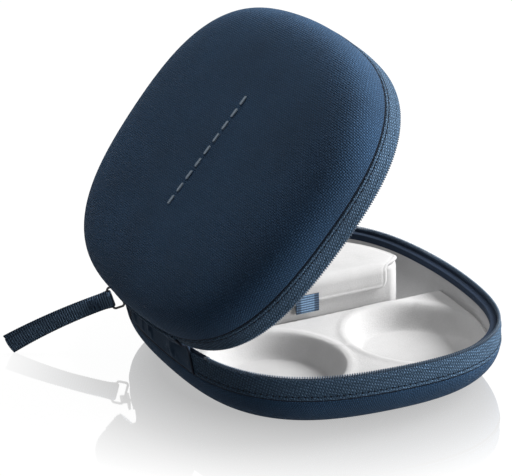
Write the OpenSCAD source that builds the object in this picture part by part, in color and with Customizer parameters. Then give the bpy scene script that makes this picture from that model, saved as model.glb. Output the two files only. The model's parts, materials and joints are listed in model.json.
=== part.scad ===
// Hinged clamshell carrying case for folding headphones, standing on its base with the lid part open.
// Origin: centre of the base's flat underside. +X runs from the hinge to the opening side, +Y away
// from the ear-cup end, +Z up. Millimetres.

/* [Outline] */
// Mean radius of the case's outline
mean_r = 104; // [100:0.5:108]
// How much longer the outline is than it is wide
long_bias = 10.8; // [9:0.2:12]
// How square the outline is
square_bias = 3.9; // [3.4:0.1:4.4]
// How straight the long sides are
straight_bias = 1.1; // [0.9:0.1:1.3]
// How far both ends lean towards the opening side
lean = 0.5; // [0:0.1:0.8]

/* [Shells] */
// Height of the base, underside to parting plane
base_h = 36; // [35:0.5:38]
// Height of the lid, parting plane to top
lid_h = 35; // [34:0.5:38]
// Height of the woven gusset band on the base
base_band_h = 13.5; // [12:0.5:15]
// Height of the woven gusset band on the lid
lid_band_h = 12.5; // [11:0.5:14]
// Thickness of the outer fabric
cover_t = 1.2; // [1:0.1:1.4]
// Thickness of the moulded foam wall
core_t = 3.3; // [3:0.1:3.6]
// Thickness of the inner lining
lining_t = 0.7; // [0.5:0.1:0.9]

/* [Lid hinge] */
// Angle of the lid from closed
open_angle = 49.5; // [40:0.5:60]
// Hinge axis, distance from the case's centre line
hinge_x = 94; // [93.5:0.1:95]
// Hinge axis, height over the floor
hinge_z = 34; // [33.5:0.1:34.5]
// Half length of the soft hinge panel where it is sewn to the lid
lid_panel_half = 44; // [42:0.5:51]
// Half length of the soft hinge panel where it is sewn to the base
base_panel_half = 42; // [40:0.5:50]

/* [Interior] */
// Height of the tray deck round the ear cups
deck_z = 21; // [20:0.5:22]
// Half width of an ear-cup recess
recess_a = 37; // [35:0.5:37.5]
// Half length of an ear-cup recess
recess_b = 42; // [40:0.5:42]
// Front face of the accessory box
box_front_y = 5; // [4.5:0.5:6]
// Depth of the accessory box, front to back
box_depth = 53; // [48:1:56]
// Radius of the accessory box's rounded sides
box_r = 62; // [60:0.5:63]
// Height of the accessory box's walls over the floor
box_top_z = 40; // [38:0.5:42]

/* [Pull] */
// Place of the zip slider on the far hinge-side corner, in degrees
slider_angle = 163; // [162:0.5:164]
// Width of the pull strap's webbing
strap_w = 9.8; // [9:0.1:10]
// Length of the pull strap beyond the ring
strap_len = 63; // [50:1:63]
// Way the pull strap points, in degrees from +X
strap_heading = 161; // [155:1:167]
// Slope of the strap where it leaves the ring
droop_start = 16.5; // [15:0.5:17.5]
// Slope of the strap at its free end
droop_end = 27.5; // [25:0.5:28.5]

/* [Hidden] */

navy = [0.13, 0.19, 0.29];
dark_navy = [0.07, 0.09, 0.14];
pale_grey = [0.86, 0.86, 0.86];
black = [0.04, 0.04, 0.05];
steel = [0.7, 0.71, 0.73];
mark_grey = [0.5, 0.56, 0.63];

wall_steps = 96;            // sides of the extruded rings
shell_steps = 48;           // sides of the moulded shells
gap = 0.05;                 // between glued layers
crown_rhos = [0.99, 0.95, 0.88, 0.78, 0.63];
crown_gain = 1.02;          // makes the middle of a shell truly flat
base_shape = [7.4, 1.7];    // fullness and softness of the base's lower edge
lid_shape = [6.8, 2.8];     // and of the lid's shoulder

core_in = cover_t + gap;
lining_in = core_in + core_t + gap;
cavity_in = lining_in + lining_t;
core_start = 4.5;           // all these are depths below the parting plane
lining_start = 5.4;
fold_gap = 0.4;
band_start = 1.9;
seam_gap = 0.4;
welt_proud = 0.2;           // how far the welt stands out of the seam
welt_half = 0.35;
tape_in = cover_t + 0.15;
tape_t = 0.65;
tape_start = 1.7;
tooth_in = 0.15;
tooth_reach = 0.7;          // how far the teeth reach behind the band
tooth_end = 1.65;
zip_half = 50;              // where the zip stops on both sides of the hinge
stop_l = 2;
stop_gap = 0.3;
binding_t = 0.7;
binding_leg_t = 0.4;
binding_leg_l = 1.5;
block_h = 50;               // taller than the case is over the parting plane

// Outline of the case: radius at an angle measured from -Y towards +X
function outline_r(a) = mean_r + long_bias * cos(2 * a) - square_bias * cos(4 * a)
    - straight_bias * cos(6 * a) + lean * (sin(3 * a) + sin(5 * a));
function outline_point(a, inset, share) =
    let (r = (outline_r(a) - inset) * share) [r * sin(a), -r * cos(a)];
function outline(inset) =
    [for (i = [0:wall_steps - 1]) outline_point(i * 360 / wall_steps, inset, 1)];

// Share of the crown's height reached at a share rho of the outline
function crown(rho, shape) = min(1, crown_gain * pow(1 - pow(rho, shape[0]), 1 / shape[1]));

// Levels of one skin of a shell, from its open edge to its flat middle: [share of outline, height]
function skin_levels(inset, start, seam, height, shape) = concat(
    start < seam ? [[1, start], [1, seam]] : [[1, start]],
    [for (rho = crown_rhos) [rho, seam + (height - inset - seam) * crown(rho, shape)]]);
function skin_points(levels, inset) = [for (level = levels, i = [0:shell_steps - 1])
    let (p = outline_point(i * 360 / shell_steps, inset, level[0])) [p[0], p[1], level[1]]];

// A moulded shell between two insets, open at the parting plane (z = 0) and closed above it
module shell(inset_out, inset_in, start, seam, height, shape) {
    n = shell_steps;
    outer = skin_levels(inset_out, start, seam, height, shape);
    inner = skin_levels(inset_in, start, seam, height, shape);
    rows = len(outer);
    base = rows * n;
    quads = [for (k = [0:rows - 2], i = [0:n - 1]) let (j = (i + 1) % n)
        [k * n + i, (k + 1) * n + i, (k + 1) * n + j, k * n + j]];
    faces = concat(
        quads,
        [[for (i = [n - 1:-1:0]) (rows - 1) * n + i]],
        [for (q = quads) [base + q[3], base + q[2], base + q[1], base + q[0]]],
        [[for (i = [0:n - 1]) base + (rows - 1) * n + i]],
        [for (i = [0:n - 1]) let (j = (i + 1) % n) [i, j, base + j, base + i]]);
    polyhedron(points = concat(skin_points(outer, inset_out), skin_points(inner, inset_in)),
        faces = faces, convexity = 4);
}

// A ring of wall between two insets and two heights
module wall(inset_out, inset_in, z0, z1) {
    translate([0, 0, z0]) linear_extrude(z1 - z0) difference() {
        polygon(outline(inset_out));
        polygon(outline(inset_in));
    }
}

// The stretch of wall at the hinge, and everything but it
module hinge_block(half) {
    translate([-mean_r, -half, -block_h / 2]) cube([mean_r / 2, 2 * half, 2 * block_h]);
}
module hinge_side_only(half) {
    intersection() {
        children();
        hinge_block(half);
    }
}
module clear_of_hinge(half) {
    difference() {
        children();
        hinge_block(half);
    }
}

// Both halves are drawn with the parting plane at z = 0 and the closed side up
module in_base() {
    translate([0, 0, base_h]) mirror([0, 0, 1]) children();
}
module in_lid() {
    translate([-hinge_x, 0, hinge_z]) rotate([0, -open_angle, 0])
        translate([hinge_x, 0, base_h - hinge_z]) children();
}

// ---- Pieces that both halves have ----
module cover(seam, height, shape) {
    color(navy) shell(0, cover_t, seam + seam_gap, seam, height, shape);
}
module core(seam, height, shape) {
    color(dark_navy) shell(core_in, core_in + core_t, core_start, seam, height, shape);
}
module lining(seam, height, shape) {
    color(pale_grey) shell(lining_in, cavity_in, lining_start, seam, height, shape);
}
module band(seam, panel_half) {
    color(navy) clear_of_hinge(panel_half) wall(0, cover_t, band_start, seam - seam_gap);
}
module hinge_panel(seam, panel_half) {
    color(navy) hinge_side_only(panel_half - gap) wall(0, cover_t, fold_gap, seam - seam_gap);
}
module seam_welt(seam) {
    color(dark_navy) wall(-welt_proud, cover_t - 2 * welt_proud, seam - welt_half, seam + welt_half);
}
module zip_tape() {
    color(dark_navy) clear_of_hinge(zip_half) wall(tape_in, tape_in + tape_t, tape_start, core_start - 2 * gap);
}
module zip_teeth() {
    color(navy) clear_of_hinge(zip_half + stop_l + stop_gap + 4 * gap)
        wall(tooth_in, cover_t + tooth_reach, fold_gap, tooth_end);
}
module end_stops() {
    color(black) for (y = [-zip_half - stop_gap - stop_l, zip_half + stop_gap])
        intersection() {
            wall(0, tape_in + tape_t, fold_gap, tooth_end);
            translate([-mean_r, y, 0]) cube([mean_r / 2, stop_l, 2 * tooth_end]);
        }
}
module rim_binding() {
    binding_in = cavity_in + 0.9;
    cap_end = core_start - 2 * gap;
    color(dark_navy) {
        wall(tape_in + tape_t + 2 * gap, binding_in, cap_end - binding_t, cap_end);
        wall(binding_in - binding_leg_t, binding_in, cap_end - 2 * gap, core_start + binding_leg_l);
    }
}

// ---- Base ----
module lower_cover() { in_base() cover(base_band_h, base_h, base_shape); }
module lower_core() { in_base() core(base_band_h, base_h, base_shape); }
module lower_lining() { in_base() lining(base_band_h, base_h, base_shape); }
module lower_band() { in_base() band(base_band_h, base_panel_half); }
module lower_hinge_panel() { in_base() hinge_panel(base_band_h, base_panel_half); }
module lower_seam_welt() { in_base() seam_welt(base_band_h); }
module lower_zip_tape() { in_base() zip_tape(); }
module lower_zip_teeth() { in_base() zip_teeth(); }
module lower_end_stops() { in_base() end_stops(); }
module lower_rim_binding() { in_base() rim_binding(); }

// ---- Lid ----
module upper_cover() { in_lid() cover(lid_band_h, lid_h, lid_shape); }
module upper_core() { in_lid() core(lid_band_h, lid_h, lid_shape); }
module upper_lining() { in_lid() lining(lid_band_h, lid_h, lid_shape); }
module upper_band() { in_lid() band(lid_band_h, lid_panel_half); }
module upper_hinge_panel() { in_lid() hinge_panel(lid_band_h, lid_panel_half); }
module upper_seam_welt() { in_lid() seam_welt(lid_band_h); }
module upper_zip_tape() { in_lid() zip_tape(); }
module upper_zip_teeth() { in_lid() zip_teeth(); }
module upper_end_stops() { in_lid() end_stops(); }
module upper_rim_binding() { in_lid() rim_binding(); }

// A plain row of raised dashes in place of a badge
dash_count = 9;
dash_pitch = 8;
dash_l = 5.4;
dash_w = 1.8;
dash_h = 0.6;
mark_at = [1.1, -4.8];
mark_turn = -2.9;
module dash() {
    translate([-dash_l / 2 + dash_w / 2, -dash_w / 2, 0]) cube([dash_l - dash_w, dash_w, dash_h]);
    for (side = [-1, 1])
        translate([side * (dash_l - dash_w) / 2, 0, 0]) cylinder(d = dash_w, h = dash_h, $fn = 24);
}
module lid_mark() {
    color(mark_grey) in_lid() translate([mark_at[0], mark_at[1], lid_h + gap]) rotate(mark_turn)
        for (i = [0:dash_count - 1]) translate([(i - (dash_count - 1) / 2) * dash_pitch, 0, 0]) dash();
}

// ---- Tray round the ear cups ----
recess_x = 42;
recess_y = -44;
collar_t = 2;
deck_t = 3;
deck_in = cavity_in + 2.2;
collar_in = cavity_in + 6.5; // the collar round a recess stops at this inset, clear of the bowl
collar_z = 15.5;
deck_to_box = 2.6;
back_wall_half = 70;
back_wall_t = 2.4;
back_wall_foot_z = 8;
function oval(a, b) = [for (i = [0:wall_steps / 2 - 1]) let (t = i * 720 / wall_steps)
    [a * cos(t), b * sin(t)]];
module recess_prism(extra, z0, z1) {
    for (side = [-1, 1]) translate([side * recess_x, recess_y, z0])
        linear_extrude(z1 - z0) polygon(oval(recess_a + extra, recess_b + extra));
}
module ear_cup_tray() {
    color(pale_grey) difference() {
        union() {
            intersection() {
                translate([0, 0, deck_z - deck_t]) linear_extrude(deck_t) polygon(outline(deck_in));
                translate([-mean_r, -2 * mean_r, 0])
                    cube([2 * mean_r, 2 * mean_r + box_front_y - deck_to_box, block_h]);
            }
            intersection() {
                recess_prism(collar_t, collar_z, deck_z - 0.1);
                linear_extrude(deck_z) polygon(outline(collar_in));
            }
            translate([-back_wall_half, box_front_y - deck_to_box - back_wall_t, back_wall_foot_z])
                cube([2 * back_wall_half, back_wall_t, deck_z - deck_t - back_wall_foot_z + 0.1]);
        }
        recess_prism(0, 0, deck_z + 1);
    }
}

// ---- Accessory box with a hinged flap ----
box_foot_z = 6.5;
box_wall = 3;
box_floor_t = 2;
flap_t = 2.7;
flap_gap = 0.3;
skirt_drop = 11.6;
skirt_t = 2;
skirt_half = 50;
corner_cut = 7;
box_back_y = box_front_y + box_depth;
flap_axis_y = box_back_y + 0.6;
flap_axis_z = box_top_z + 0.2;
magnet = [12, 0.85, 5];
magnet_z = 33;
slot_l = 1.5;               // depth of the slot a magnet is pushed in through
foot_half = 40;
foot_t = 1.5;
strip_half = 24;
strip_h = 11.8;
tab_half = 7;
tab_h = 11;
tab_grip = 6;               // how far the tab goes up behind the skirt's lower edge

// Plan of the box: a disc cut flat in front and behind, with its front corners taken off
module box_plan(inset) {
    half = box_r - inset;
    front = box_front_y + inset;
    intersection() {
        translate([0, box_front_y - 2]) circle(r = half, $fn = 96);
        polygon([[-half, front + corner_cut], [corner_cut - half, front], [half - corner_cut, front],
            [half, front + corner_cut], [half, box_back_y - inset], [-half, box_back_y - inset]]);
    }
}
module box_walls() {
    translate([0, 0, box_foot_z]) linear_extrude(box_top_z - box_foot_z) difference() {
        box_plan(0);
        box_plan(box_wall);
    }
}
module magnet_block(y, grow) {
    translate([-magnet[0] / 2 - grow, y - grow, magnet_z - grow])
        cube([magnet[0] + 2 * grow, magnet[1] + 2 * grow, magnet[2] + 2 * grow]);
}
box_magnet_y = box_front_y + 0.05;
flap_magnet_y = box_front_y - flap_gap - 0.05 - magnet[1];
module accessory_box() {
    color(pale_grey) difference() {
        union() {
            box_walls();
            translate([0, 0, box_foot_z]) linear_extrude(box_floor_t) box_plan(0.5);
            translate([-foot_half, box_front_y + 5, cavity_in + 2 * gap])
                cube([2 * foot_half, box_depth - 20, foot_t]);
        }
        magnet_block(box_magnet_y, gap);
        translate([-magnet[0] / 2 - gap, box_front_y - 1, magnet_z - gap])
            cube([magnet[0] + 2 * gap, slot_l, magnet[2] + 2 * gap]);
    }
}
module box_magnet() { color(steel) magnet_block(box_magnet_y, 0); }
module flap_hinge_strip() {
    color(pale_grey) translate([-strip_half, box_back_y + gap, box_top_z - 0.2 - strip_h])
        cube([2 * strip_half, 0.5, strip_h]);
}
module accessory_flap() {
    skirt_y = box_front_y - flap_gap - skirt_t;
    color(pale_grey) difference() {
        union() {
            translate([0, 0, box_top_z + flap_gap]) linear_extrude(flap_t) box_plan(0);
            translate([-skirt_half, skirt_y, box_top_z - skirt_drop])
                cube([2 * skirt_half, skirt_t, skirt_drop + flap_gap + flap_t]);
            translate([-skirt_half, skirt_y + skirt_t - 0.1, box_top_z + flap_gap])
                cube([2 * skirt_half, 5, flap_t]);
        }
        magnet_block(flap_magnet_y, gap);
        translate([-magnet[0] / 2 - gap, box_front_y - flap_gap - 0.5, magnet_z - gap])
            cube([magnet[0] + 2 * gap, slot_l, magnet[2] + 2 * gap]);
    }
}
module flap_magnet() { color(steel) magnet_block(flap_magnet_y, 0); }
module flap_pull_tab() {
    color(navy) translate([-tab_half, box_front_y - flap_gap - skirt_t - 1.1,
        box_top_z - skirt_drop + tab_grip - tab_h]) cube([2 * tab_half, 1, tab_h]);
}

// ---- Zip slider, ring and strap ----
// The far hinge-side corner of the outline follows an arc with this centre and radius
corner = [-20.8, 41];
corner_r = 65.8;
slider_l = 11;
plate_out = 0.6;
plate_t = 1.3;
plate_in = -2.75;
plate_in_t = 0.85;
plate_tail = [-2.4, 1.8];
plate_nose = [-3.8, 2.3];
plate_in_nose = [-2.9, 2.3];
neck_l = 2.6;
neck_t = 0.5;
bail_z = -2.5;
bail_half_l = 3.5;
bail_w = 2;
bail_t = 1.2;
bail_reach = 5.9;
ring_u = 3.75;
wire_r = 0.65;
ring_w = 13.1;
ring_depth = 6.5;
ring_corner = 1.6;
ring_lift = 3.5;
layer_t = 1.1;
bar_clear = 0.2;
tack_l = 8;
tack_t = 0.3;
tack_from = 4.5;            // from the ring's bar to the patches
tack_margin = 0.8;

// Local frame on the zip track: x outward, y towards the hinge, z up from the parting plane
module on_track() {
    translate([corner[0], corner[1], base_h]) rotate(slider_angle) translate([corner_r, 0, 0]) children();
}
module slider_plate(x, thickness, tail, nose) {
    translate([x, 0, 0]) rotate([90, 0, 90]) linear_extrude(thickness)
        polygon([[slider_l / 2, tail[0]], [slider_l / 2, tail[1]], [1, nose[1]], [-slider_l / 2, nose[1]],
            [-slider_l / 2, nose[0]], [1, nose[0]]]);
}
module slider_body() {
    color(black) on_track() {
        slider_plate(plate_out, plate_t, plate_tail, plate_nose);
        slider_plate(plate_in - plate_in_t, plate_in_t, plate_tail, plate_in_nose);
        translate([plate_in - 0.1, -slider_l / 2 + 0.6, -neck_t / 2])
            cube([plate_out - plate_in + 0.2, neck_l, neck_t]);
    }
}
module slider_bail() {
    x0 = plate_out + plate_t + 0.02;
    color(black) on_track() translate([x0, -bail_half_l, bail_z - bail_w / 2]) difference() {
        cube([bail_reach - x0, 2 * bail_half_l, bail_w]);
        translate([-1, bail_t + 0.1, -1])
            cube([bail_reach - x0 - bail_t + 1, 2 * (bail_half_l - bail_t - 0.1), bail_w + 2]);
    }
}

// Local frame of the ring: x along the strap, z along the ring's two bars, origin in the slider's bail
ring_origin = [corner[0] + (corner_r + ring_u) * cos(slider_angle),
    corner[1] + (corner_r + ring_u) * sin(slider_angle), base_h + bail_z];
module on_ring() {
    translate(ring_origin) rotate([0, 0, strap_heading]) rotate([0, droop_start, 0]) children();
}
module wire(length) { cylinder(r = wire_r, h = length, center = true, $fn = 24); }
module wire_corner() {
    rotate_extrude(angle = 90, $fn = 48) translate([ring_corner, 0]) circle(r = wire_r, $fn = 24);
}
module pull_ring() {
    half_w = ring_w / 2;
    color(black) on_ring() translate([0, 0, -ring_lift]) {
        for (x = [0, ring_depth]) translate([x, 0, 0]) wire(ring_w - 2 * ring_corner);
        for (z = [-half_w, half_w]) translate([ring_depth / 2, 0, z]) rotate([0, 90, 0])
            wire(ring_depth - 2 * ring_corner);
        for (turn = [0, 180]) translate([ring_depth / 2, 0, 0]) rotate([0, turn, 0])
            for (flip = [0, 1]) mirror([0, 0, flip])
                translate([ring_depth / 2 - ring_corner, 0, half_w - ring_corner])
                    rotate([90, 0, 0]) wire_corner();
    }
}

// The strap bends edgewise along an arc from its fold to its free end
arc_turn = droop_end - droop_start;
arc_r = strap_len / (arc_turn * PI / 180);
fold_r = wire_r + bar_clear;
module on_bar() {
    on_ring() translate([ring_depth, 0, -ring_lift]) children();
}
module pull_strap() {
    color(navy) on_bar() difference() {
        union() {
            cylinder(r = fold_r + layer_t, h = strap_w, center = true, $fn = 48);
            translate([0, 0, -arc_r]) rotate([90, 0, 0]) rotate(90 - arc_turn)
                rotate_extrude(angle = arc_turn, $fn = 360)
                    translate([arc_r - strap_w / 2, -layer_t]) square([strap_w, 2 * layer_t]);
        }
        cylinder(r = fold_r, h = strap_w + 2, center = true, $fn = 48);
    }
}
module strap_tack_patches() {
    color(dark_navy) on_bar() for (side = [-1, 1])
        translate([tack_from, side * (layer_t + 0.2) - tack_t / 2, tack_margin - strap_w / 2])
            rotate([0, 1, 0]) cube([tack_l, tack_t, strap_w - 2.2 * tack_margin]);
}

lower_cover();
lower_core();
lower_lining();
lower_band();
lower_hinge_panel();
lower_seam_welt();
lower_zip_tape();
lower_zip_teeth();
lower_end_stops();
lower_rim_binding();
ear_cup_tray();
accessory_box();
box_magnet();
flap_hinge_strip();
upper_cover();
upper_core();
upper_lining();
upper_band();
upper_hinge_panel();
upper_seam_welt();
upper_zip_tape();
upper_zip_teeth();
upper_end_stops();
upper_rim_binding();
lid_mark();
slider_body();
slider_bail();
pull_ring();
pull_strap();
strap_tack_patches();
accessory_flap();
flap_magnet();
flap_pull_tab();
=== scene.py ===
"""Headphone carrying case: its looks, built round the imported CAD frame, in millimetres."""
import json
import math

import bpy
import numpy as np
from mathutils import Matrix, Vector


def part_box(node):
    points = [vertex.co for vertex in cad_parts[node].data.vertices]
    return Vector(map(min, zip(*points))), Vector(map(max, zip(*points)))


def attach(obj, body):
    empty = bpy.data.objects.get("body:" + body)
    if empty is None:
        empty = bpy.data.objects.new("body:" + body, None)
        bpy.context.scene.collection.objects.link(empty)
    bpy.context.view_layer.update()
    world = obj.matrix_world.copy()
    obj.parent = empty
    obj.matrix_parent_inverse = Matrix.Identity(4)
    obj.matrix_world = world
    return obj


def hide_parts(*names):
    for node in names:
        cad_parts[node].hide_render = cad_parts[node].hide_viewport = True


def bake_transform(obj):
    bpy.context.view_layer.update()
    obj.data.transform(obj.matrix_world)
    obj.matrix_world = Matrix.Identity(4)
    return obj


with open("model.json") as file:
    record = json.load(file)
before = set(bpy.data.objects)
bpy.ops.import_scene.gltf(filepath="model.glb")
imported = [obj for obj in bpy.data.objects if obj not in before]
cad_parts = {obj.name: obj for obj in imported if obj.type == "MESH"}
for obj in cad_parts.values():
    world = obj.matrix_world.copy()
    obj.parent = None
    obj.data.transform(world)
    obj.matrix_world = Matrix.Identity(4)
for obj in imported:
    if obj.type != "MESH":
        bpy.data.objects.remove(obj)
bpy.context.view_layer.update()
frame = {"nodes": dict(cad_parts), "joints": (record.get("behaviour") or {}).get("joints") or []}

MM = 0.001
HALF_TURN = math.pi
FULL_TURN = 2 * math.pi

# ---- driving dimensions, millimetres
# The outline's mean radius, and how far it is stretched, squared, straightened and leant.
MEAN_R = 104.0
LONG_BIAS = 10.8
SQUARE_BIAS = 3.9
STRAIGHT_BIAS = 1.1
LEAN = 0.5

joints = {joint["name"]: joint for joint in frame["joints"]}
HINGE_X = -joints["lid_hinge"]["pos_m"][0] / MM
HINGE_Z = joints["lid_hinge"]["pos_m"][2] / MM
OPEN_ANGLE = math.radians(-joints["lid_hinge"]["range_deg"][0])
BASE_H = 36.0
# Each half: its height, its seam's depth, the fullness and softness of its crown, how far its rim
# flares out, and the half length of the hinge panel at its seam.
HALVES = {
    "lower": {"body": "base", "height": BASE_H, "seam": 13.5, "shape": (7.4, 1.7), "flare": 0.0, "panel": 42.0},
    "upper": {"body": "lid", "height": 35.0, "seam": 12.5, "shape": (6.8, 2.8), "flare": 0.6, "panel": 44.0},
}
COVER_T = 1.2
LINING_IN = 4.7
CAVITY_IN = 5.3
HINGE_ANGLE = 1.5 * HALF_TURN
ZIP_HALF = 50.0
FOLD_HALF = 38.0  # half length of the hinge panel at its fold
PANEL_LAP = 5.0  # how far the gussets run under the hinge panel's ends
TOOTH_PITCH = 1.3
STITCH_PITCH = 3.3
DECK_Z = 21.0


# ---- outline of the case
def outline_r(angle):
    """Radius of the outline at an angle from -Y towards +X."""
    return (MEAN_R + LONG_BIAS * np.cos(2 * angle) - SQUARE_BIAS * np.cos(4 * angle)
            - STRAIGHT_BIAS * np.cos(6 * angle) + LEAN * (np.sin(3 * angle) + np.sin(5 * angle)))


def on_outline(angle, inset=0.0, share=1.0):
    """Plan point on the outline, moved in by inset and then scaled by share."""
    r = (outline_r(angle) - inset) * share
    return np.stack([r * np.sin(angle), -r * np.cos(angle)], -1)


FINE = np.linspace(0, FULL_TURN, 7201)
FINE_STEP = np.linalg.norm(np.diff(on_outline(FINE), axis=0), axis=1)
FINE_LENGTH = np.concatenate([[0], np.cumsum(FINE_STEP)])
PERIMETER = FINE_LENGTH[-1]


def angle_at(length):
    """Angle at a length along the outline, which may run past one turn."""
    turns = np.floor(np.asarray(length) / PERIMETER)
    return np.interp(length - turns * PERIMETER, FINE_LENGTH, FINE) + turns * FULL_TURN


def length_at(angle):
    """Length along the outline at an angle, which may run past one turn."""
    turns = np.floor(np.asarray(angle) / FULL_TURN)
    return np.interp(angle - turns * FULL_TURN, FINE, FINE_LENGTH) + turns * PERIMETER


def hinge_edge(y):
    """Angle on the hinge side at which the outline has this y."""
    near = FINE[(FINE > HINGE_ANGLE - 1) & (FINE < HINGE_ANGLE + 1)]
    return float(near[np.argmin(abs(on_outline(near)[:, 1] - y))])


def front_run(half_panel):
    """Lengths along the outline from one end of the hinge panel round the opening side to the other."""
    return length_at(hinge_edge(-half_panel)), length_at(hinge_edge(half_panel)) + PERIMETER


# ---- placing
def in_base(points):
    """From a half's own space, parting plane at z 0 and closed side up, to the base, in metres."""
    placed = np.array(points, float)
    placed[..., 2] = BASE_H - placed[..., 2]
    return placed * MM


def in_lid(points):
    """From a half's own space to the lid at rest, in metres."""
    points = np.asarray(points, float)
    x = points[..., 0] + HINGE_X
    z = points[..., 2] + BASE_H - HINGE_Z
    c = math.cos(OPEN_ANGLE)
    s = math.sin(OPEN_ANGLE)
    return np.stack([x * c - z * s - HINGE_X, points[..., 1], x * s + z * c + HINGE_Z], -1) * MM


PLACE = {"lower": in_base, "upper": in_lid}


def as_is(points):
    """From the base's own place to metres."""
    return np.asarray(points, float) * MM


def flare_at(half, depth):
    """How far a half's rim flares out at a depth from the parting plane."""
    return HALVES[half]["flare"] * np.maximum(0.0, 1 - np.asarray(depth) / HALVES[half]["seam"])


# ---- small sums
def unit(vectors):
    return vectors / np.linalg.norm(vectors, axis=-1, keepdims=True)


def smoothstep(share):
    return share * share * (3 - 2 * share)


def whole_turn(count):
    return np.arange(count) * FULL_TURN / count


def weave_grid(along, across):
    return np.stack(np.meshgrid(along, across, indexing="ij"), -1)


# ---- mesh making
def new_object(name, data):
    """An object for this data, linked to the scene."""
    made = bpy.data.objects.new(name, data)
    bpy.context.scene.collection.objects.link(made)
    return made


def make_object(name, verts, faces, uv=None, smooth_below=50):
    """A mesh object with its weave coordinates, in millimetres, in a UV layer."""
    mesh = bpy.data.meshes.new(name)
    mesh.from_pydata([tuple(v) for v in verts], [], faces)
    if uv is not None:
        layer = mesh.uv_layers.new(name="weave")
        layer.data.foreach_set("uv", np.asarray(uv, np.float32).ravel())
    mesh.validate()
    mesh.shade_smooth()
    mesh.set_sharp_from_angle(angle=math.radians(smooth_below))
    return new_object(name, mesh)


def make_active(piece):
    bpy.ops.object.select_all(action="DESELECT")
    piece.select_set(True)
    bpy.context.view_layer.objects.active = piece


def fix_normals(piece):
    """Turns every face outwards."""
    make_active(piece)
    bpy.ops.object.mode_set(mode="EDIT")
    bpy.ops.mesh.select_all(action="SELECT")
    bpy.ops.mesh.normals_make_consistent(inside=False)
    bpy.ops.object.mode_set(mode="OBJECT")


def surface(name, points, uv, wrap_path=False, wrap_profile=False, cap_ends=False, poles=False):
    """A skin over a grid of points, rows along a path and columns along a profile.
    uv has one more row or column than points where that direction wraps."""
    rows, cols = points.shape[:2]
    verts = [tuple(p) for p in points.reshape(-1, 3)]
    faces = []
    corners = []
    for i in range(rows if wrap_path else rows - 1):
        i2 = (i + 1) % rows
        for j in range(cols if wrap_profile else cols - 1):
            j2 = (j + 1) % cols
            faces.append((i * cols + j, i2 * cols + j, i2 * cols + j2, i * cols + j2))
            corners += [uv[i, j], uv[i + 1, j], uv[i + 1, j + 1], uv[i, j + 1]]
    if cap_ends:
        for i, order in ((0, 1), (rows - 1, -1)):
            ring = list(range(cols))[::order]
            faces.append(tuple(i * cols + j for j in ring))
            corners += [uv[i, j] for j in ring]
    if poles:
        for j, order in ((0, 1), (cols - 1, -1)):
            centre = len(verts)
            verts.append(tuple(points[:, j].mean(0)))
            middle = uv[:-1, j].mean(0)
            for i in range(rows):
                first, second = (i + 1, i)[::order]
                faces.append((first % rows * cols + j, second % rows * cols + j, centre))
                corners += [uv[first, j], uv[second, j], middle]
    return make_object(name, verts, faces, corners)


def cut_sides(here, after):
    """Two points on each side of a polyline, a quarter in from its ends: Chaikin's corner cutting."""
    return np.stack([0.75 * here + 0.25 * after, 0.25 * here + 0.75 * after], 1).reshape(-1, here.shape[1])


def rounded(loop, times=2):
    """Cuts the corners of a closed polyline."""
    loop = np.asarray(loop, float)
    for _ in range(times):
        loop = cut_sides(loop, np.roll(loop, -1, axis=0))
    return loop


def rounded_open(line, times=2):
    """Cuts the corners of an open polyline and keeps its ends."""
    line = np.asarray(line, float)
    for _ in range(times):
        line = np.concatenate([line[:1], cut_sides(line[:-1], line[1:])[1:-1], line[-1:]])
    return line


def lengths_along(line):
    """Running length along a polyline."""
    return np.concatenate([[0], np.cumsum(np.linalg.norm(np.diff(line, axis=0), axis=1))])


def ripple(x, y, scale):
    """Smooth bumps between -1 and 1 that never look regular, the same in each run."""
    return (np.sin(x / scale + 1.3 * np.sin(y / scale * 0.7)) * np.cos(y / scale * 1.1 + 0.6)
            + 0.5 * np.sin(2.3 * x / scale + 4 + y / scale * 1.9)) / 1.5


def strip_round(name, half, profile, start, end, step=1.6, closed=False):
    """A closed profile of (inset, depth) swept along the outline, between two lengths."""
    loop = rounded(profile)
    count = int(round((end - start) / step))
    lengths = np.linspace(start, end, count + 1)
    angles = angle_at(lengths[:-1] if closed else lengths)
    flare = flare_at(half, loop[:, 1])
    points = np.zeros((len(angles), len(loop), 3))
    for j, (inset, depth) in enumerate(loop):
        points[:, j, :2] = on_outline(angles, inset - flare[j])
        points[:, j, 2] = depth
    around = lengths_along(np.concatenate([loop, loop[:1]]))
    return surface(name, PLACE[half](points), weave_grid(lengths, around), wrap_path=closed, wrap_profile=True,
                   cap_ends=not closed)


def cloth_strip(name, front, back, along, across):
    """A closed skin over both faces of a strip of cloth; along and across are its weave coordinates."""
    loop = np.concatenate([front, back[:, ::-1]], 1)
    around = np.concatenate([across, across[::-1], across[:1]])
    return surface(name, as_is(loop), weave_grid(along, around), wrap_profile=True, cap_ends=True)


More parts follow.
